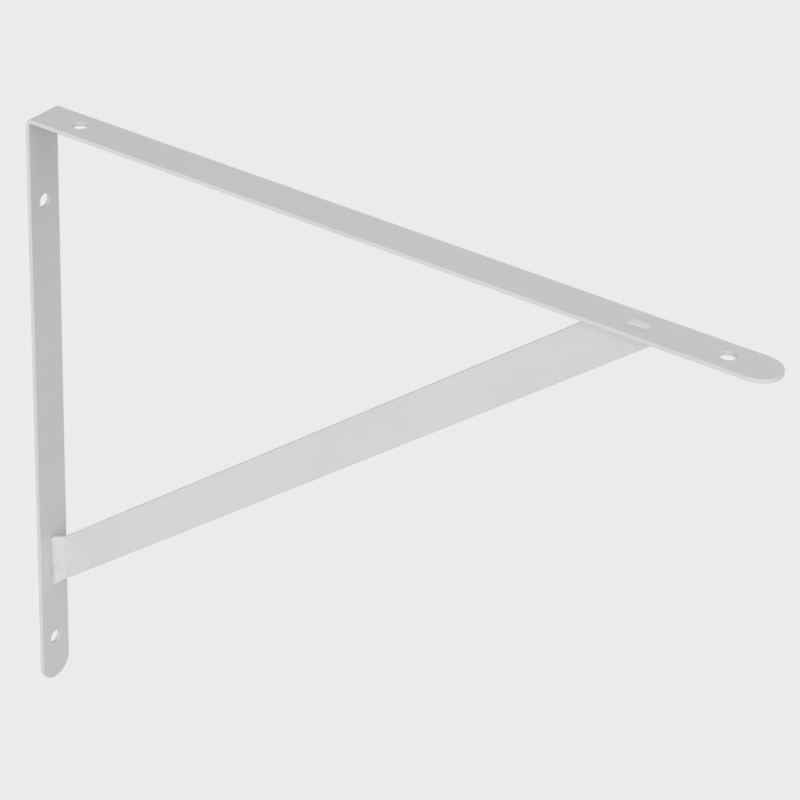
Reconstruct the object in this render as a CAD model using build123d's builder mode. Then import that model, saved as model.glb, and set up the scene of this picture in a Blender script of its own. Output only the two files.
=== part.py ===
from build123d import *
import os
from math import atan2, cos, degrees, sin, tan

# Braced shelf bracket: a flat strip bent once into an L, held square by a diagonal bar
# that stands on edge on the strip's centre line.
#
# Frame: the wall is the plane X = 0 and the shelf rests on the plane Z = 0. The arm runs
# out along +X, the leg hangs down along -Z, and both are centred on Y = 0. Millimetres.

# ---- driving dimensions ------------------------------------------------------------

# strip
arm_length = 380.0          # from the wall to the tip of the shelf arm
leg_length = 320.0          # from the shelf to the foot of the wall leg
strip_width = 20.0
strip_thickness = 2.0
bend_inner_radius = 1.5
edge_break = 0.3            # rounding of the strip's and the bar's outer edges

# screw holes
hole_diameter = 7.0
arm_inner_hole = 24.0       # from the wall
arm_outer_hole = 24.0       # from the tip
leg_upper_hole = 45.0       # below the shelf
leg_lower_hole = 25.0       # above the foot
hole_chamfer = 0.25

# brace
brace_width = 20.0          # across the bar, in the plane of the bracket
brace_thickness = 2.0
brace_setback = 67.0        # from the tip back to the bar's centre line under the arm
brace_foot_gap = 71.0       # from the foot up to the bar's centre line on the leg

# tenon of the brace in the slot of the arm
tenon_length = 8.0
tenon_recess = 0.8          # from the shelf face down to the top of the tenon
slot_gap = 1.2              # room for weld all round the tenon
plug_crown = 0.2            # crown of the plug weld over the shelf face

# weld round the lower end of the brace
weld_side_leg = 2.2         # size of the run on the leg, beside the bar
weld_top_leg = 3.6          # size in the notch above the bar
weld_bottom_leg = 1.8       # size under the bar
weld_reach = 8.0            # length of the run, out from the leg
weld_toe = 0.25             # thickness where it runs out on the bar
weld_bulge = 0.35           # crown of the run over a straight slope
weld_rounding = 0.45        # corner radius as a share of the run's thickness

# ---- derived -----------------------------------------------------------------------

bend_outer_radius = bend_inner_radius + strip_thickness
end_radius = strip_width / 2
leg_face_x = strip_thickness                      # inner face of the leg
arm_face_z = -strip_thickness                     # underside of the arm
brace_reach = arm_length - brace_setback
brace_drop = leg_length - brace_foot_gap
brace_run = brace_reach - leg_face_x
brace_rise = brace_drop - strip_thickness
brace_angle = atan2(brace_rise, brace_run)
brace_axis = Axis((leg_face_x, 0, -brace_drop), (brace_run, 0, brace_rise))
brace_half_height = brace_width / 2 / cos(brace_angle)    # half its end on the leg
brace_half_length = brace_width / 2 / sin(brace_angle)    # half its end under the arm
slot_length = tenon_length + 2 * slot_gap
slot_width = brace_thickness + 2 * slot_gap

# ---- angle strip: one strip, bent, round at both ends --------------------------------

with BuildPart() as angle_strip:
    # side profile, drawn along the outer faces and thickened inwards
    with BuildSketch(Plane.XZ) as side_profile:
        with BuildLine():
            FilletPolyline((0, -leg_length), (0, 0), (arm_length, 0), radius=bend_outer_radius)
            offset(amount=strip_thickness, side=Side.RIGHT)
        make_face()
    extrude(amount=strip_width / 2, both=True)

    # full-round tip: what is left of the strip seen from above
    with BuildSketch(Plane.XY) as plan_outline:
        with Locations(((arm_length - end_radius) / 2, 0)):
            Rectangle(arm_length - end_radius, strip_width)
        with Locations((arm_length - end_radius, 0)):
            Circle(end_radius)
    extrude(amount=leg_length, both=True, mode=Mode.INTERSECT)

    # full-round foot: what is left of the strip seen from the front
    with BuildSketch(Plane.YZ) as front_outline:
        with Locations((0, -(leg_length - end_radius) / 2)):
            Rectangle(strip_width, leg_length - end_radius)
        with Locations((0, -(leg_length - end_radius))):
            Circle(end_radius)
    extrude(amount=arm_length, both=True, mode=Mode.INTERSECT)
    fillet(angle_strip.edges().filter_by(Axis.Y, reverse=True), edge_break)

    # screw holes and the brace's slot, with the rims of both faces broken
    with BuildSketch(Plane.XY) as arm_holes:
        with Locations((arm_inner_hole, 0), (arm_length - arm_outer_hole, 0)):
            Circle(hole_diameter / 2)
        with Locations((brace_reach, 0)):
            SlotOverall(slot_length, slot_width)
    extrude(amount=-strip_thickness, mode=Mode.SUBTRACT)
    chamfer(angle_strip.edges(Select.LAST).filter_by(Plane.XY), hole_chamfer)
    with BuildSketch(Plane.YZ) as leg_holes:
        with Locations((0, -leg_upper_hole), (0, -(leg_length - leg_lower_hole))):
            Circle(hole_diameter / 2)
    extrude(amount=strip_thickness, mode=Mode.SUBTRACT)
    chamfer(angle_strip.edges(Select.LAST).filter_by(Plane.YZ), hole_chamfer)
angle_strip.part.label = "angle_strip"

# ---- brace: bar on edge, upright at the leg, level and tenoned at the arm ------------

with BuildPart() as brace:
    with BuildSketch(Plane.XZ) as bar_profile:
        with BuildLine():
            Polyline(
                (leg_face_x, -brace_drop - brace_half_height),
                (brace_reach + brace_half_length, arm_face_z),
                (brace_reach - brace_half_length, arm_face_z),
                (leg_face_x, -brace_drop + brace_half_height),
                close=True,
            )
        make_face()
    extrude(amount=brace_thickness / 2, both=True)
    fillet(brace.edges().filter_by(brace_axis), edge_break)
    with BuildSketch(Plane.XY.offset(arm_face_z)) as tenon_profile:
        with Locations((brace_reach, 0)):
            Rectangle(tenon_length, brace_thickness)
    extrude(amount=strip_thickness - tenon_recess)
brace.part.label = "brace"

# ---- plug weld: fills the slot round the tenon and crowns over it --------------------

with BuildPart() as plug_weld:
    with BuildSketch(Plane.XY.offset(arm_face_z)) as slot_fill:
        with Locations((brace_reach, 0)):
            SlotOverall(slot_length, slot_width)
    extrude(amount=strip_thickness + plug_crown)
    fillet(plug_weld.faces().sort_by(Axis.Z)[-1].edges(), plug_crown)
    add(brace.part, mode=Mode.SUBTRACT)
plug_weld.part.label = "plug_weld"

# ---- leg weld: a collar round the lower end of the brace -----------------------------

with BuildPart() as leg_weld:
    # sections square to X, from the leg (share 0) to where the run ends on the bar (1)
    for share in (0, 0.5, 1):
        crown = 4 * weld_bulge * share * (1 - share)
        side = (1 - share) * weld_side_leg + share * weld_toe + crown
        top = (1 - share) * weld_top_leg + share * weld_toe + crown
        bottom = (1 - share) * weld_bottom_leg + share * weld_toe + crown
        distance = share * weld_reach
        bar_centre_z = -brace_drop + distance * tan(brace_angle)
        with BuildSketch(Plane.YZ.offset(leg_face_x + distance)):
            with Locations((0, bar_centre_z + (top - bottom) / 2)):
                RectangleRounded(
                    brace_thickness + 2 * side,
                    2 * brace_half_height + top + bottom,
                    weld_rounding * side,
                )
    loft()
    add(brace.part, mode=Mode.SUBTRACT)
leg_weld.part.label = "leg_weld"

# ---- write -------------------------------------------------------------------------

os.makedirs("parts", exist_ok=True)
export_step(angle_strip.part, "parts/angle_strip.step")
export_step(brace.part, "parts/brace.step")
export_step(plug_weld.part, "parts/plug_weld.step")
export_step(leg_weld.part, "parts/leg_weld.step")

print(f"brace angle {degrees(brace_angle):.2f} degrees")
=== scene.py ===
import math

import bmesh
import bpy
from bpy.props import FloatProperty, FloatVectorProperty, IntProperty, PointerProperty
from mathutils import Matrix, Vector


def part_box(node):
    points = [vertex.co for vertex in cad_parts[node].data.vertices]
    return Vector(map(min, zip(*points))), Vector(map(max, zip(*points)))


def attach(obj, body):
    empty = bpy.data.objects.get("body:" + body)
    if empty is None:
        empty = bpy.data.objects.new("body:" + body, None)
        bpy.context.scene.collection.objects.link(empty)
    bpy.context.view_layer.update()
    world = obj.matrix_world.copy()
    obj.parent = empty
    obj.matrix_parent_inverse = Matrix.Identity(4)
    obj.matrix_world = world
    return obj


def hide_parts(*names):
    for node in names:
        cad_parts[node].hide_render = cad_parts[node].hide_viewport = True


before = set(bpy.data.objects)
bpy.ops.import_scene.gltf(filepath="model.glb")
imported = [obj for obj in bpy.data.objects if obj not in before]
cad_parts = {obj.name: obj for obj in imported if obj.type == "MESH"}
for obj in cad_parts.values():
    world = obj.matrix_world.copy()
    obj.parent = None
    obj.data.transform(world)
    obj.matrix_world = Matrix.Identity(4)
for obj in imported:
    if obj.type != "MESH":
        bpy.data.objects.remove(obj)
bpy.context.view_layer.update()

bl_info = {
    "name": "Braced shelf bracket",
    "version": (1, 0, 0),
    "blender": (4, 5, 0),
    "location": "3D View > Sidebar > Bracket",
    "description": "Powder coat, weld runs and studio for a braced shelf bracket",
    "category": "Object",
}

# ---- sizes read from the frame -------------------------------------------------------

STRIP_LOW, STRIP_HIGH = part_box("angle_strip")
BRACE_LOW, BRACE_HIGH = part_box("brace")
LEG_WELD_LOW, LEG_WELD_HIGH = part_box("leg_weld")
PLUG_LOW, PLUG_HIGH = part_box("plug_weld")

LEG_FACE = LEG_WELD_LOW.x                     # inner face of the wall leg
ARM_UNDERSIDE = PLUG_LOW.z
BAR_THICKNESS = BRACE_HIGH.y - BRACE_LOW.y
SAME_PLACE = 0.00005                          # points this close to a face lie on it


def leg_end_of_bar():
    """Highest and lowest point of the bar on the leg."""
    on_leg = [v.co.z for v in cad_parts["brace"].data.vertices
              if abs(v.co.x - LEG_FACE) < SAME_PLACE]
    if not on_leg:
        raise RuntimeError("the brace doesn't reach the leg")
    return max(on_leg), min(on_leg)


def bar_slope():
    """Rise over run of the bar, from its lower end to the arm."""
    bar_top, bar_low = leg_end_of_bar()
    under_arm = [v.co.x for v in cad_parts["brace"].data.vertices
                 if abs(v.co.z - ARM_UNDERSIDE) < SAME_PLACE]
    if not under_arm:
        raise RuntimeError("the brace doesn't reach the arm")
    middle = (min(under_arm) + max(under_arm)) / 2
    return (ARM_UNDERSIDE - (bar_top + bar_low) / 2) / (middle - LEG_FACE)


# ---- settings ------------------------------------------------------------------------

class CoatSettings(bpy.types.PropertyGroup):
    """Powder coat of the strip and the brace."""

    colour: FloatVectorProperty(
        name="Coat colour", description="Colour of the powder coat",
        subtype="COLOR", size=3, min=0.0, max=1.0, default=(0.665, 0.665, 0.665))
    shine: FloatProperty(
        name="Coat roughness", description="0 is a mirror and 1 is chalk",
        subtype="FACTOR", min=0.0, max=1.0, default=0.46)
    peel_size: FloatProperty(
        name="Peel size", description="Width of one swell of the coat's orange peel",
        unit="LENGTH", min=0.0002, max=0.01, default=0.0022)
    peel_depth: FloatProperty(
        name="Peel depth", description="Height of the orange peel",
        unit="LENGTH", min=0.0, max=0.0005, default=0.00016)
    edge_width: FloatProperty(
        name="Edge width", description="How far the coat thins in from a sharp edge",
        unit="LENGTH", min=0.0001, max=0.003, default=0.0006)


class LegWeldSettings(bpy.types.PropertyGroup):
    """Weld run round the lower end of the brace."""

    side_leg: FloatProperty(
        name="Side leg", description="Size of the run beside the bar",
        unit="LENGTH", min=0.0, max=0.0022, default=0.0010)
    top_leg: FloatProperty(
        name="Top leg", description="Size of the run in the notch above the bar",
        unit="LENGTH", min=0.0, max=0.0036, default=0.0034)
    bottom_leg: FloatProperty(
        name="Bottom leg", description="Size of the run under the bar",
        unit="LENGTH", min=0.0, max=0.0018, default=0.0012)
    ripple_pitch: FloatProperty(
        name="Ripple pitch", description="Distance from one ripple to the next",
        unit="LENGTH", min=0.0005, max=0.005, default=0.0019)
    ripple_height: FloatProperty(
        name="Ripple height", description="Height of a ripple under the coat",
        unit="LENGTH", min=0.0, max=0.0004, default=0.00007)
    seed: IntProperty(
        name="Seed", description="Another seed gives another run",
        min=0, max=100, default=3)


class PlugWeldSettings(bpy.types.PropertyGroup):
    """Plug weld in the slot of the shelf arm."""

    crown: FloatProperty(
        name="Crown", description="Height of the weld over the shelf face",
        unit="LENGTH", min=0.0, max=0.001, default=0.0009)
    spread: FloatProperty(
        name="Spread", description="How far the weld runs over the rim of the slot",
        unit="LENGTH", min=0.0, max=0.001, default=0.0003)
    lean: FloatProperty(
        name="Lean", description="How far the weld runs on towards the tip",
        unit="LENGTH", min=0.0, max=0.004, default=0.0024)
    seed: IntProperty(
        name="Seed", description="Another seed gives another plug",
        min=0, max=100, default=5)


class StudioSettings(bpy.types.PropertyGroup):
    """Floor, lamps and camera."""

    floor_drop: FloatProperty(
        name="Floor drop", description="From the foot of the bracket down to the floor",
        unit="LENGTH", min=0.0, max=2.0, default=0.42)
    backdrop_colour: FloatVectorProperty(
        name="Backdrop colour", description="Colour seen behind the bracket",
        subtype="COLOR", size=3, min=0.0, max=1.0, default=(0.823, 0.823, 0.823))
    key_strength: FloatProperty(
        name="Key light", description="Strength of the large soft key light",
        min=0.0, max=10.0, default=2.4)
    fill_strength: FloatProperty(
        name="Fill light", description="Strength of the even light from all round",
        min=0.0, max=2.0, default=0.356)
    lens: FloatProperty(
        name="Lens", description="Focal length of the camera on a 36 mm sensor, in millimetres",
        unit="CAMERA", min=20.0, max=300.0, default=121.98)


# ---- node helpers --------------------------------------------------------------------

class Graph:
    """Short calls for filling a node tree."""

    def __init__(self, tree):
        self.tree = tree

    def node(self, kind, *links, **values):
        """A node; links fill its inputs in order, and None leaves one alone."""
        made = self.tree.nodes.new(kind)
        for name, value in values.items():
            setattr(made, name, value)
        for place, value in enumerate(links):
            self.feed(made.inputs[place], value)
        return made

    def feed(self, socket, value):
        if value is None:
            return
        if isinstance(value, bpy.types.NodeSocket):
            self.tree.links.new(value, socket)
        else:
            socket.default_value = value

    def math(self, operation, *values, clamp=False):
        kind = "ShaderNodeMath"
        return self.node(kind, *values, operation=operation, use_clamp=clamp).outputs[0]

    def add(self, first, second):
        return self.math("ADD", first, second)

    def less(self, first, second):
        return self.math("SUBTRACT", first, second)

    def times(self, first, second):
        return self.math("MULTIPLY", first, second)

    def power(self, value, exponent):
        return self.math("POWER", value, exponent)

    def between(self, share, low, high):
        """The value at a share of the way from low to high."""
        return self.add(low, self.times(share, self.less(high, low)))

    def vector(self, operation, *values):
        made = self.node("ShaderNodeVectorMath", *values, operation=operation)
        return made.outputs["Value" if operation == "DOT_PRODUCT" else "Vector"]

    def step(self, value, low, high, start=0.0, end=1.0):
        """Smooth step of a value from low to high."""
        made = self.node("ShaderNodeMapRange", interpolation_type="SMOOTHSTEP")
        for name, given in (("Value", value), ("From Min", low), ("From Max", high),
                            ("To Min", start), ("To Max", end)):
            self.feed(made.inputs[name], given)
        return made.outputs["Result"]

    def split(self, vector):
        return self.node("ShaderNodeSeparateXYZ", vector).outputs

    def join(self, x, y, z):
        return self.node("ShaderNodeCombineXYZ", x, y, z).outputs[0]

    def noise(self, vector, scale, detail=2.0, seed=None):
        kind = "3D" if seed is None else "4D"
        made = self.node("ShaderNodeTexNoise", noise_dimensions=kind)
        self.feed(made.inputs["Vector"], vector)
        self.feed(made.inputs["Scale"], scale)
        self.feed(made.inputs["Detail"], detail)
        if seed is not None:
            self.feed(made.inputs["W"], seed)
        return made.outputs["Fac"]


def new_group(name, kind, inputs, outputs):
    """An empty node group with named sockets: (name, socket type, default)."""
    tree = bpy.data.node_groups.new(name, kind)
    for label, socket, default in inputs:
        made = tree.interface.new_socket(name=label, in_out="INPUT", socket_type=socket)
        if default is not None:
            made.default_value = default
    for label, socket in outputs:
        tree.interface.new_socket(name=label, in_out="OUTPUT", socket_type=socket)
    graph = Graph(tree)
    return graph, graph.node("NodeGroupInput").outputs, graph.node("NodeGroupOutput").inputs


# ---- shader groups -------------------------------------------------------------------

# waves per metre
GRAIN_SCALE = 5200.0
CLOUD_SCALE = 14.0
SPECK_SCALE = 1900.0
WEAR_SCALE = 160.0
GRIT_SCALE = 900.0

PEEL_SHARE = 0.7                              # height of the orange peel's own waves
SWELL_SHARE = 0.6                             # height of the longer waves under them
SWELL_STRETCH = 0.23                          # scale of the longer waves against the peel's

# tones against the coat's colour
SPECK_TONE = 0.9
WORN_TONE = 0.82
# paler tone of the painted highlight on the crown of the plug weld
PAINTED_HIGHLIGHT_TONE = 1.12

SPECK_STRENGTH = 0.25
WEAR_STRENGTH = 3.0
CLOUD_ROUGHNESS = 0.05                        # how much the roughness changes with the clouds
EDGE_SHINE = 0.06                             # how much smoother the thin coat of an edge is
GRIT_HEIGHT = 0.00003


def coat_skin_group():
    """Orange peel, fine powder grain and slow clouding of a baked powder coat."""
    if "coat_skin" in bpy.data.node_groups:
        return bpy.data.node_groups["coat_skin"]
    graph, given, out = new_group(
        "coat_skin", "ShaderNodeTree",
        [("Peel Size", "NodeSocketFloat", 0.002), ("Peel Depth", "NodeSocketFloat", 0.00016),
         ("Grain Depth", "NodeSocketFloat", 0.000006)],
        [("Height", "NodeSocketFloat"), ("Cloud", "NodeSocketFloat"),
         ("Speck", "NodeSocketFloat")])
    place = graph.node("ShaderNodeTexCoord").outputs["Object"]
    scale = graph.math("DIVIDE", 1.0, given["Peel Size"])
    peel = graph.noise(place, scale, 1.5)
    swell = graph.noise(place, graph.times(scale, SWELL_STRETCH), 1.0)
    grain = graph.noise(place, GRAIN_SCALE, 2.0)
    peel = graph.add(graph.times(peel, PEEL_SHARE), graph.times(swell, SWELL_SHARE))
    height = graph.add(graph.times(peel, given["Peel Depth"]),
                       graph.times(grain, given["Grain Depth"]))
    graph.feed(out["Height"], height)
    cloud = graph.noise(place, CLOUD_SCALE, 3.0)
    graph.feed(out["Cloud"], graph.step(cloud, 0.35, 0.65))
    speck = graph.noise(place, SPECK_SCALE, 1.0)
    graph.feed(out["Speck"], graph.step(speck, 0.70, 0.78))
    return graph.tree


def edge_group():
    """Mask of the sharp edges, where a coat thins and catches handling marks."""
    if "coat_edge" in bpy.data.node_groups:
        return bpy.data.node_groups["coat_edge"]
    graph, given, out = new_group(
        "coat_edge", "ShaderNodeTree", [("Width", "NodeSocketFloat", 0.0006)],
        [("Mask", "NodeSocketFloat"), ("Wear", "NodeSocketFloat")])
    bevel = graph.node("ShaderNodeBevel", given["Width"], samples=6)
    normal = graph.node("ShaderNodeNewGeometry").outputs["Normal"]
    turn = graph.vector("DOT_PRODUCT", bevel.outputs[0], normal)
    mask = graph.step(turn, 0.995, 0.86)
    place = graph.node("ShaderNodeTexCoord").outputs["Object"]
    patchy = graph.step(graph.noise(place, WEAR_SCALE, 3.0), 0.55, 0.72)
    graph.feed(out["Mask"], mask)
    graph.feed(out["Wear"], graph.times(mask, patchy))
    return graph.tree


# ---- materials -----------------------------------------------------------------------

def coat_material(name, colour, roughness, peel_size, peel_depth, edge_width,
                  cloud=0.018, edge_tone=0.10, weld=False, pool=None):
    """Baked powder coat: clouded colour, orange peel, thinner coat on the edges.

    The last argument is the pair of heights between which the coat turns paler: a painted
    highlight on the crown of a weld.
    """
    made = bpy.data.materials.new(name)
    made.use_nodes = True
    graph = Graph(made.node_tree)
    shader = made.node_tree.nodes["Principled BSDF"]
    skin = graph.node("ShaderNodeGroup", node_tree=coat_skin_group())
    skin.inputs["Peel Size"].default_value = peel_size
    skin.inputs["Peel Depth"].default_value = peel_depth
    edge = graph.node("ShaderNodeGroup", node_tree=edge_group())
    edge.inputs["Width"].default_value = edge_width
    place = graph.node("ShaderNodeTexCoord").outputs["Object"]

    def mixed(share, first, second):
        blend = graph.node("ShaderNodeMix", data_type="RGBA")
        graph.feed(blend.inputs["Factor"], share)
        for socket, value in ((blend.inputs[6], first), (blend.inputs[7], second)):
            graph.feed(socket, value)
        return blend.outputs[2]

    def tone(factor):
        return tuple(min(1.0, c * factor) for c in colour) + (1.0,)

    base = mixed(skin.outputs["Cloud"], tone(1.0 - cloud), tone(1.0 + cloud))
    speckled = graph.times(skin.outputs["Speck"], SPECK_STRENGTH)
    base = mixed(speckled, base, tone(SPECK_TONE))
    worn = graph.times(edge.outputs["Wear"], edge_tone * WEAR_STRENGTH)
    base = mixed(worn, base, tone(WORN_TONE))
    # painted highlight: the coat turns paler towards the top of the weld's crown, where the dome
    # catches the light
    if pool:
        upward = graph.split(place)[2]
        base = mixed(graph.step(upward, *pool), base, tone(PAINTED_HIGHLIGHT_TONE))
    graph.feed(shader.inputs["Base Color"], base)

    rough = graph.times(skin.outputs["Cloud"], CLOUD_ROUGHNESS)
    rough = graph.add(rough, roughness - CLOUD_ROUGHNESS / 2)
    rough = graph.less(rough, graph.times(edge.outputs["Mask"], EDGE_SHINE))
    graph.feed(shader.inputs["Roughness"], rough)

    height = skin.outputs["Height"]
    if weld:
        # fine soot and spatter grain that shows through the coat on a weld
        grit = graph.step(graph.noise(place, GRIT_SCALE, 2.0), 0.62, 0.74)
        height = graph.add(height, graph.times(grit, GRIT_HEIGHT))
    bump = graph.node("ShaderNodeBump")
    bump.inputs["Strength"].default_value = 1.0
    bump.inputs["Distance"].default_value = 1.0
    graph.feed(bump.inputs["Height"], height)
    graph.feed(shader.inputs["Normal"], bump.outputs["Normal"])
    return made


def coat_like(name, settings, **changes):
    """The bracket's coat, with this piece's own small differences."""
    values = {
        "colour": tuple(settings.colour), "roughness": settings.shine,
        "peel_size": settings.peel_size, "peel_depth": settings.peel_depth,
        "edge_width": settings.edge_width,
    }
    values.update(changes)
    return coat_material(name, **values)


def weld_skin(name, coat, **changes):
    """The coat as it lies on a weld: finer peel, more clouding and a little more shine."""
    return coat_like(name, coat, weld=True, cloud=0.03, peel_size=coat.peel_size * 0.7,
                     roughness=coat.shine - 0.03, edge_tone=0.03, edge_width=0.0003, **changes)


def dress(node_name, material):
    """Gives a CAD node its finished material."""
    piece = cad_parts[node_name]
    if not piece.material_slots:
        piece.data.materials.append(material)
    for place in piece.material_slots:
        place.material = material


# ---- geometry nodes ------------------------------------------------------------------

MERGE_DISTANCE = 0.000002
ROW_RADIUS = 0.0005                           # of the row of points, before each gets its place

RUN_FACE = 0.7                                # share of the row that is the run's outer face
RUN_IN_BAR = 0.0004                           # depth of the run's back in the bar
RUN_IN_LEG = 0.0003                           # depth of the run's back in the leg

PUDDLE_TOP = 0.8                              # share of the row that is the puddle's top
PUDDLE_CLEARANCE = 0.0001                     # from the arm's underside up to the puddle's base


def rounded_outline(graph, width, height, radius, corner_points, points):
    """A rectangle with round corners, as a closed row of evenly spaced points."""
    box = graph.node("GeometryNodeCurvePrimitiveQuadrilateral", width, height, mode="RECTANGLE")
    soft = graph.node("GeometryNodeFilletCurve", mode="POLY")
    graph.feed(soft.inputs["Curve"], box.outputs[0])
    graph.feed(soft.inputs["Count"], corner_points)
    graph.feed(soft.inputs["Radius"], radius)
    even = graph.node("GeometryNodeResampleCurve")
    graph.feed(even.inputs["Curve"], soft.outputs[0])
    graph.feed(even.inputs["Count"], points)
    return even.outputs[0]


def closed_ring(graph, outline, rows):
    """Sweeps a closed row of points round the outline.

    Gives the mesh, the outline's place, outward direction and length, and the row's share.
    """
    placed = graph.node("GeometryNodeCaptureAttribute", domain="POINT")
    placed.capture_items.new("VECTOR", "Place")
    placed.capture_items.new("VECTOR", "Outward")
    placed.capture_items.new("FLOAT", "Length")
    here = graph.node("GeometryNodeInputPosition").outputs[0]
    along = graph.node("GeometryNodeInputTangent").outputs[0]
    across = graph.vector("CROSS_PRODUCT", along, (0.0, 0.0, 1.0))
    side = graph.math("SIGN", graph.vector("DOT_PRODUCT", across, here))
    outward = graph.node("ShaderNodeVectorMath", across, operation="SCALE")
    graph.feed(outward.inputs["Scale"], side)
    length = graph.node("GeometryNodeSplineParameter").outputs["Length"]
    graph.feed(placed.inputs[0], outline)
    graph.feed(placed.inputs["Place"], here)
    graph.feed(placed.inputs["Outward"], outward.outputs[0])
    graph.feed(placed.inputs["Length"], length)

    ring = graph.node("GeometryNodeCurvePrimitiveCircle", rows, mode="RADIUS")
    ring.inputs["Radius"].default_value = ROW_RADIUS
    shared = graph.node("GeometryNodeCaptureAttribute", domain="POINT")
    shared.capture_items.new("FLOAT", "Share")
    factor = graph.node("GeometryNodeSplineParameter").outputs["Factor"]
    graph.feed(shared.inputs[0], ring.outputs["Curve"])
    graph.feed(shared.inputs["Share"], factor)

    swept = graph.node("GeometryNodeCurveToMesh")
    graph.feed(swept.inputs["Curve"], placed.outputs[0])
    graph.feed(swept.inputs["Profile Curve"], shared.outputs[0])
    return (swept.outputs["Mesh"], placed.outputs["Place"], placed.outputs["Outward"],
            placed.outputs["Length"], shared.outputs["Share"])


def face_and_back(graph, share, face):
    """Progress over the face of a row, progress over its back, and 1 on the back."""
    ahead = graph.math("DIVIDE", share, face, clamp=True)
    behind = graph.math("DIVIDE", graph.less(share, face), 1.0 - face, clamp=True)
    return ahead, behind, graph.math("GREATER_THAN", share, face)


def wandering(graph, place, scale, seed, spread):
    """A factor near 1 that changes slowly from place to place."""
    wave = graph.noise(place, scale, 2.0, seed)
    return graph.add(1.0 - spread / 2, graph.times(wave, spread))


def finish_tree(graph, mesh, there, material, output):
    """Puts each point in its place; merged, smooth, realized and given its material."""
    moved = graph.node("GeometryNodeSetPosition")
    graph.feed(moved.inputs["Geometry"], mesh)
    graph.feed(moved.inputs["Position"], there)
    merged = graph.node("GeometryNodeMergeByDistance")
    graph.feed(merged.inputs["Geometry"], moved.outputs[0])
    merged.inputs["Distance"].default_value = MERGE_DISTANCE
    smooth = graph.node("GeometryNodeSetShadeSmooth")
    graph.feed(smooth.inputs[0], merged.outputs[0])
    real = graph.node("GeometryNodeRealizeInstances")
    graph.feed(real.inputs[0], smooth.outputs[0])
    dressed = graph.node("GeometryNodeSetMaterial")
    graph.feed(dressed.inputs["Geometry"], real.outputs[0])
    graph.feed(dressed.inputs["Material"], material)
    graph.feed(output, dressed.outputs[0])


def leg_weld_tree():
    """A rippled run that follows the outline of the bar's end on the leg."""
    number = "NodeSocketFloat"
    graph, given, out = new_group(
        "leg_weld_run", "GeometryNodeTree",
        [("Geometry", "NodeSocketGeometry", None),
         ("Bar Thickness", number, 0.002), ("End Height", number, 0.0255),
         ("Slope", number, 0.794), ("Leg Face", number, 0.002), ("Centre Height", number, -0.249),
         ("Reach", number, 0.008), ("Side Leg", number, 0.001), ("Top Leg", number, 0.0034),
         ("Bottom Leg", number, 0.0012), ("Toe", number, 0.00012), ("Bulge", number, 0.00025),
         ("Ripple Pitch", number, 0.0019), ("Ripple Height", number, 0.00007),
         ("Gap Place", number, -0.0045), ("Gap Width", number, 0.0045),
         ("Seed", "NodeSocketInt", 3), ("Material", "NodeSocketMaterial", None)],
        [("Geometry", "NodeSocketGeometry")])
    corner = graph.times(given["Bar Thickness"], 0.4)
    outline = rounded_outline(graph, given["Bar Thickness"], given["End Height"], corner, 10, 480)
    mesh, place, outward, run, share = closed_ring(graph, outline, 40)
    way, spot = graph.split(outward), graph.split(place)

    # across the run: out along the face to the toe, then back inside the bar
    ahead, behind, on_back = face_and_back(graph, share, RUN_FACE)
    reach = graph.less(ahead, graph.times(on_back, behind))
    near = graph.less(1.0, reach)
    belly = graph.times(4.0, graph.times(near, reach))

    # size by direction: beside, above or below the bar, and starved at the gap
    upright = graph.power(way[1], 2.0)
    upper = graph.math("GREATER_THAN", way[1], 0.0)
    end_leg = graph.between(upper, given["Bottom Leg"], given["Top Leg"])
    from_gap = graph.math("ABSOLUTE", graph.less(spot[1], given["Gap Place"]))
    gap_core = graph.times(given["Gap Width"], 0.4)
    starved = graph.step(from_gap, gap_core, given["Gap Width"], 0.35, 1.0)
    side_leg = graph.times(given["Side Leg"], starved)
    size = graph.between(upright, side_leg, end_leg)
    wander = wandering(graph, place, 260.0, graph.times(given["Seed"], 1.7), 0.56)
    slope = graph.times(graph.times(size, wander), graph.power(near, 1.15))
    thick = graph.add(slope, graph.times(given["Bulge"], belly))
    thick = graph.add(thick, graph.times(given["Toe"], reach))

    # ripples: crescents that trail across the run
    trail = graph.times(graph.power(graph.less(reach, 0.5), 2.0), 2.4)
    beat = graph.less(graph.math("DIVIDE", run, given["Ripple Pitch"]), trail)
    beat = graph.add(beat, graph.times(wander, 0.8))
    swing = graph.less(graph.times(graph.math("FRACT", beat), 2.0), 1.0)
    wave = graph.less(1.0, graph.power(graph.math("ABSOLUTE", swing), 1.6))
    thick = graph.add(thick, graph.times(given["Ripple Height"], graph.times(wave, belly)))
    thick = graph.add(graph.times(thick, graph.less(1.0, on_back)),
                      graph.times(on_back, -RUN_IN_BAR))

    # place: outline on the leg, pushed outwards, then carried along the bar's slope
    sunk = graph.times(on_back, graph.times(near, -RUN_IN_LEG))
    forward = graph.add(graph.times(given["Reach"], reach), sunk)
    beside = graph.add(spot[0], graph.times(way[0], thick))
    height = graph.add(spot[1], graph.times(way[1], thick))
    height = graph.add(height, graph.times(forward, given["Slope"]))
    there = graph.join(graph.add(given["Leg Face"], forward), beside,
                       graph.add(given["Centre Height"], height))
    finish_tree(graph, mesh, there, given["Material"], out["Geometry"])
    return graph.tree


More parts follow.
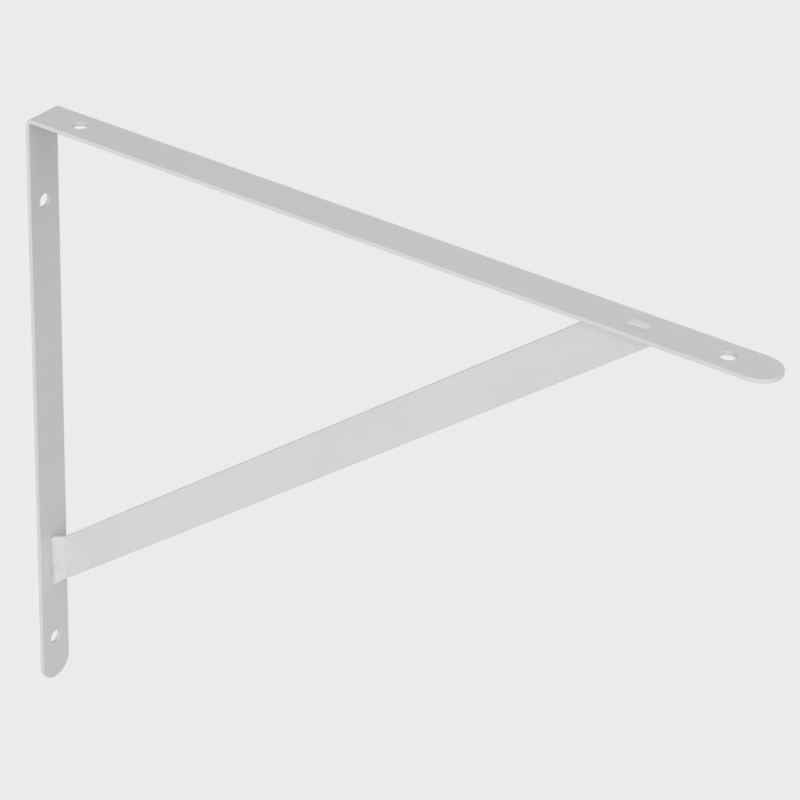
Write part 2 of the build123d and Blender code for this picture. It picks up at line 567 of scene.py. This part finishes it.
def plug_weld_tree():
    """A domed puddle that fills the slot and dries in rings."""
    number = "NodeSocketFloat"
    graph, given, out = new_group(
        "plug_weld_puddle", "GeometryNodeTree",
        [("Geometry", "NodeSocketGeometry", None),
         ("Length", number, 0.0104), ("Width", number, 0.0044), ("Depth", number, 0.0019),
         ("Crown", number, 0.0009), ("Lean", number, 0.0024),
         ("Ring Height", number, 0.0001), ("Ring Count", number, 3.0),
         ("Centre", "NodeSocketVector", None),
         ("Seed", "NodeSocketInt", 5), ("Material", "NodeSocketMaterial", None)],
        [("Geometry", "NodeSocketGeometry")])
    corner = graph.times(given["Width"], 0.499)
    outline = rounded_outline(graph, given["Length"], given["Width"], corner, 16, 160)
    mesh, place, _, _, share = closed_ring(graph, outline, 48)
    spot = graph.split(place)

    # across the puddle: in over the top to the middle, then back out under it
    ahead, behind, under = face_and_back(graph, share, PUDDLE_TOP)
    on_top = graph.less(1.0, under)
    radius = graph.add(graph.less(1.0, ahead), graph.times(under, graph.times(behind, 0.9)))

    # plan: the outline drawn in towards the slot's spine, and leaning towards the tip
    half = graph.times(graph.less(given["Length"], given["Width"]), 0.5)
    wall_end = graph.times(half, -1.0)
    spine = graph.math("MINIMUM", graph.math("MAXIMUM", spot[0], wall_end), half)
    wander = wandering(graph, place, 420.0, graph.times(given["Seed"], 2.3), 0.14)
    reach = graph.times(radius, wander)
    tipward = graph.step(spot[0], graph.times(half, -0.6), graph.times(half, 1.4))
    lean = graph.times(given["Lean"], graph.times(tipward, radius))
    x = graph.add(spine, graph.times(graph.less(spot[0], spine), reach))
    x = graph.add(x, graph.times(lean, on_top))
    y = graph.times(spot[1], reach)

    # height: flush at the wall end of the slot, and rising to a dome towards the tip
    dome = graph.power(graph.less(1.0, graph.power(radius, 2.0)), 0.6)
    flush_end = graph.times(given["Length"], -0.40)
    full_rise = graph.times(given["Length"], -0.06)
    dome = graph.times(dome, graph.step(x, flush_end, full_rise, 0.06, 1.0))
    turns = graph.times(given["Ring Count"], math.tau)
    rings = graph.math("SINE", graph.times(radius, turns))
    rings = graph.times(rings, graph.times(radius, graph.less(1.0, radius)))
    top = graph.add(graph.times(given["Crown"], dome), graph.times(given["Ring Height"], rings))
    z = graph.less(graph.times(top, on_top), graph.times(under, given["Depth"]))
    there = graph.vector("ADD", graph.join(x, y, z), given["Centre"])
    finish_tree(graph, mesh, there, given["Material"], out["Geometry"])
    return graph.tree


def grown(name, tree, values):
    """Runs a tree once and gives its result as a plain closed mesh at the origin."""
    seedling = bpy.data.objects.new(name + "_source", bpy.data.meshes.new(name + "_source"))
    bpy.context.scene.collection.objects.link(seedling)
    modifier = seedling.modifiers.new("grow", "NODES")
    modifier.node_group = tree
    places = {item.name: item.identifier for item in tree.interface.items_tree
              if item.item_type == "SOCKET" and item.in_out == "INPUT"}
    for label, value in values.items():
        modifier[places[label]] = value
    graph = bpy.context.evaluated_depsgraph_get()
    mesh = bpy.data.meshes.new_from_object(seedling.evaluated_get(graph))
    bpy.data.objects.remove(seedling)
    if not mesh.polygons:
        raise RuntimeError(name + " came out empty")
    shape = bmesh.new()
    shape.from_mesh(mesh)
    bmesh.ops.remove_doubles(shape, verts=shape.verts, dist=MERGE_DISTANCE)
    bmesh.ops.dissolve_degenerate(shape, edges=shape.edges, dist=MERGE_DISTANCE / 2)
    bmesh.ops.recalc_face_normals(shape, faces=shape.faces)
    if shape.calc_volume(signed=True) < 0:
        bmesh.ops.reverse_faces(shape, faces=shape.faces)
    shape.to_mesh(mesh)
    shape.free()
    mesh.name = name
    piece = bpy.data.objects.new(name, mesh)
    bpy.context.scene.collection.objects.link(piece)
    return piece


# ---- operators -----------------------------------------------------------------------

class BRACKET_OT_coat_strip(bpy.types.Operator):
    """Powder coats the bent strip"""

    bl_idname = "bracket.coat_strip"
    bl_label = "Coat the strip"

    def execute(self, context):
        coat = context.scene.bracket_coat
        dress("angle_strip", coat_like("strip_coat", coat))
        return {"FINISHED"}


class BRACKET_OT_coat_brace(bpy.types.Operator):
    """Powder coats the diagonal bar"""

    bl_idname = "bracket.coat_brace"
    bl_label = "Coat the brace"

    def execute(self, context):
        coat = context.scene.bracket_coat
        skin = coat_like("brace_coat", coat, peel_size=coat.peel_size * 1.15)
        dress("brace", skin)
        return {"FINISHED"}


class BRACKET_OT_leg_weld(bpy.types.Operator):
    """Lays the weld run round the lower end of the brace"""

    bl_idname = "bracket.leg_weld"
    bl_label = "Lay the leg weld"

    def execute(self, context):
        coat, weld = context.scene.bracket_coat, context.scene.bracket_leg_weld
        skin = weld_skin("leg_weld_coat", coat)
        bar_top, bar_low = leg_end_of_bar()
        values = {
            "Bar Thickness": BAR_THICKNESS, "End Height": bar_top - bar_low,
            "Slope": bar_slope(), "Leg Face": LEG_FACE, "Centre Height": (bar_top + bar_low) / 2,
            "Reach": LEG_WELD_HIGH.x - LEG_WELD_LOW.x,
            "Side Leg": weld.side_leg, "Top Leg": weld.top_leg, "Bottom Leg": weld.bottom_leg,
            "Ripple Pitch": weld.ripple_pitch, "Ripple Height": weld.ripple_height,
            "Seed": weld.seed, "Material": skin,
        }
        piece = grown("leg_weld_run", leg_weld_tree(), values)
        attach(piece, "root")
        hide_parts("leg_weld")
        return {"FINISHED"}


class BRACKET_OT_plug_weld(bpy.types.Operator):
    """Fills the slot in the shelf arm with its plug weld"""

    bl_idname = "bracket.plug_weld"
    bl_label = "Fill the slot"

    def execute(self, context):
        coat, weld = context.scene.bracket_coat, context.scene.bracket_plug_weld
        # the plug weld's crown gets a painted highlight between these heights
        skin = weld_skin("plug_weld_coat", coat, pool=(0.0001, 0.0006))
        centre = (PLUG_LOW + PLUG_HIGH) / 2
        values = {
            "Length": PLUG_HIGH.x - PLUG_LOW.x + 2 * weld.spread,
            "Width": PLUG_HIGH.y - PLUG_LOW.y + 2 * weld.spread,
            "Depth": -ARM_UNDERSIDE - PUDDLE_CLEARANCE, "Crown": weld.crown, "Lean": weld.lean,
            "Centre": (centre.x, centre.y, 0.0), "Seed": weld.seed, "Material": skin,
        }
        piece = grown("plug_weld_puddle", plug_weld_tree(), values)
        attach(piece, "root")
        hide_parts("plug_weld")
        return {"FINISHED"}


class BRACKET_OT_studio(bpy.types.Operator):
    """Sets up the floor, the lamps, the surroundings and the camera"""

    bl_idname = "bracket.studio"
    bl_label = "Set up the studio"

    def execute(self, context):
        studio = context.scene.bracket_studio
        context.scene.view_settings.view_transform = "Standard"
        backdrop = tuple(studio.backdrop_colour) + (1.0,)
        build_floor(STRIP_LOW.z - studio.floor_drop, backdrop)
        build_surroundings(backdrop, studio.fill_strength)
        build_lamps(studio.key_strength)
        build_camera(studio.lens)
        return {"FINISHED"}


# ---- studio --------------------------------------------------------------------------

FLOOR_RADIUS = 9.0
FLOOR_CENTRE = 0.2                            # along the arm, so that it lies under the bracket
FLOOR_MATT = 0.62                             # grey of the floor paper under the lamps
FLOOR_FIBRE = 0.004                           # how much that grey drifts
FLOOR_LIFT = 0.478                            # share of the backdrop colour added where it is seen

# name, side it shines from, strength against the key light, spread in degrees
LAMPS = (
    ("key", (0.20, -0.78, 0.19), 1.0, 70.0),
    ("side_fill", (0.85, -0.05, 0.42), 0.29, 28.0),
    ("rear_fill", (-0.28, 0.84, 0.24), 0.22, 40.0),
)
LAMP_DISTANCE = 3.0

# degrees to the right of straight ahead, above level, and of roll
CAMERA_AROUND, CAMERA_ABOVE, CAMERA_ROLL = 32.467, 31.039, 3.038
CAMERA_TARGET = (0.20315, 0.0, -0.07799)
CAMERA_DISTANCE = 1.1849


def seen_directly(graph):
    """1 for rays that show the surroundings: straight, mirrored or through glass."""
    rays = graph.node("ShaderNodeLightPath").outputs
    seen = graph.math("MAXIMUM", rays["Is Camera Ray"], rays["Is Glossy Ray"])
    return graph.math("MAXIMUM", seen, rays["Is Transmission Ray"])


def build_floor(height, backdrop):
    """A wide round floor, see-through from below, that keeps the bracket's shadow."""
    shape = bmesh.new()
    bmesh.ops.create_circle(shape, cap_ends=True, segments=96, radius=FLOOR_RADIUS)
    shape.faces.ensure_lookup_table()
    if shape.faces[0].normal.z < 0:
        bmesh.ops.reverse_faces(shape, faces=shape.faces)
    mesh = bpy.data.meshes.new("floor")
    shape.to_mesh(mesh)
    shape.free()
    mesh.transform(Matrix.Translation((FLOOR_CENTRE, 0.0, height)))
    floor = bpy.data.objects.new("floor", mesh)
    bpy.context.scene.collection.objects.link(floor)
    made = bpy.data.materials.new("floor_paper")
    made.use_nodes = True
    graph = Graph(made.node_tree)
    made.node_tree.nodes.clear()
    place = graph.node("ShaderNodeTexCoord").outputs["Object"]
    fibre = graph.noise(place, 3.0, 2.0)
    matt = graph.node("ShaderNodeBsdfDiffuse")
    tint = graph.node("ShaderNodeMapRange", fibre)
    tint.inputs["To Min"].default_value = FLOOR_MATT - FLOOR_FIBRE
    tint.inputs["To Max"].default_value = FLOOR_MATT + FLOOR_FIBRE
    grey = graph.node("ShaderNodeCombineColor", *[tint.outputs[0]] * 3)
    graph.feed(matt.inputs["Color"], grey.outputs[0])
    lift = graph.node("ShaderNodeEmission", backdrop)
    graph.feed(lift.inputs["Strength"], graph.math("MULTIPLY", seen_directly(graph), FLOOR_LIFT))
    both = graph.node("ShaderNodeAddShader", matt.outputs[0], lift.outputs[0])
    clear = graph.node("ShaderNodeBsdfTransparent")
    behind = graph.node("ShaderNodeNewGeometry").outputs["Backfacing"]
    sided = graph.node("ShaderNodeMixShader", behind, both.outputs[0], clear.outputs[0])
    graph.node("ShaderNodeOutputMaterial", sided.outputs[0])
    floor.data.materials.append(made)


def build_surroundings(backdrop, fill):
    """Even light from all round; what is seen of it is the backdrop's colour."""
    world = bpy.data.worlds.new("studio")
    world.use_nodes = True
    bpy.context.scene.world = world
    graph = Graph(world.node_tree)
    world.node_tree.nodes.clear()
    seen = seen_directly(graph)
    light = graph.node("ShaderNodeBackground", (1.0, 1.0, 1.0, 1.0), fill)
    wall = graph.node("ShaderNodeBackground", backdrop, 1.0)
    sides = graph.node("ShaderNodeMixShader", seen, light.outputs[0], wall.outputs[0])
    graph.node("ShaderNodeOutputWorld", sides.outputs[0])


def build_lamps(strength):
    """Far soft lamps: a large key light from the front, and weak ones beside and behind."""
    for name, towards, share, spread in LAMPS:
        lamp = bpy.data.lights.new(name, "SUN")
        lamp.energy = strength * share
        lamp.angle = math.radians(spread)
        holder = bpy.data.objects.new(name, lamp)
        holder.rotation_mode = "QUATERNION"
        holder.rotation_quaternion = Vector(towards).to_track_quat("Z", "Y")
        holder.location = Vector(towards).normalized() * LAMP_DISTANCE
        bpy.context.scene.collection.objects.link(holder)


def build_camera(lens):
    """Camera in front of the bracket, to its right and above it."""
    around, above, roll = map(math.radians, (CAMERA_AROUND, CAMERA_ABOVE, CAMERA_ROLL))
    back = Vector((math.sin(around) * math.cos(above), -math.cos(around) * math.cos(above),
                   math.sin(above)))
    right = Vector((math.cos(around), math.sin(around), 0.0))
    up = back.cross(right)
    level = math.cos(roll) * right + math.sin(roll) * up
    tall = math.cos(roll) * up - math.sin(roll) * right
    data = bpy.data.cameras.new("camera")
    data.sensor_width = 36.0
    data.lens = lens
    data.clip_start, data.clip_end = 0.05, 50.0
    camera = bpy.data.objects.new("camera", data)
    turn = Matrix((level, tall, back)).transposed()
    place = Vector(CAMERA_TARGET) + back * CAMERA_DISTANCE
    camera.matrix_world = Matrix.Translation(place) @ turn.to_4x4()
    bpy.context.scene.collection.objects.link(camera)
    bpy.context.scene.camera = camera


# ---- panel and registering -----------------------------------------------------------

class BRACKET_PT_panel(bpy.types.Panel):
    """Settings and steps of the bracket"""

    bl_idname = "BRACKET_PT_panel"
    bl_label = "Braced shelf bracket"
    bl_space_type = "VIEW_3D"
    bl_region_type = "UI"
    bl_category = "Bracket"

    def draw(self, context):
        for group, steps in PANEL_ROWS:
            box = self.layout.box()
            settings = getattr(context.scene, group)
            for name in settings.__annotations__:
                box.prop(settings, name)
            for step in steps:
                box.operator(step.bl_idname)


PANEL_ROWS = (
    ("bracket_coat", (BRACKET_OT_coat_strip, BRACKET_OT_coat_brace)),
    ("bracket_leg_weld", (BRACKET_OT_leg_weld,)),
    ("bracket_plug_weld", (BRACKET_OT_plug_weld,)),
    ("bracket_studio", (BRACKET_OT_studio,)),
)

CLASSES = (
    CoatSettings, LegWeldSettings, PlugWeldSettings, StudioSettings,
    BRACKET_OT_coat_strip, BRACKET_OT_coat_brace, BRACKET_OT_leg_weld,
    BRACKET_OT_plug_weld, BRACKET_OT_studio, BRACKET_PT_panel,
)


def register():
    for made in CLASSES:
        bpy.utils.register_class(made)
    bpy.types.Scene.bracket_coat = PointerProperty(type=CoatSettings)
    bpy.types.Scene.bracket_leg_weld = PointerProperty(type=LegWeldSettings)
    bpy.types.Scene.bracket_plug_weld = PointerProperty(type=PlugWeldSettings)
    bpy.types.Scene.bracket_studio = PointerProperty(type=StudioSettings)


def unregister():
    for name in ("bracket_coat", "bracket_leg_weld", "bracket_plug_weld", "bracket_studio"):
        delattr(bpy.types.Scene, name)
    for made in reversed(CLASSES):
        bpy.utils.unregister_class(made)


def main():
    register()
    bpy.ops.bracket.coat_strip()
    bpy.ops.bracket.coat_brace()
    bpy.ops.bracket.leg_weld()
    bpy.ops.bracket.plug_weld()
    bpy.ops.bracket.studio()


if __name__ == "__main__":
    main()
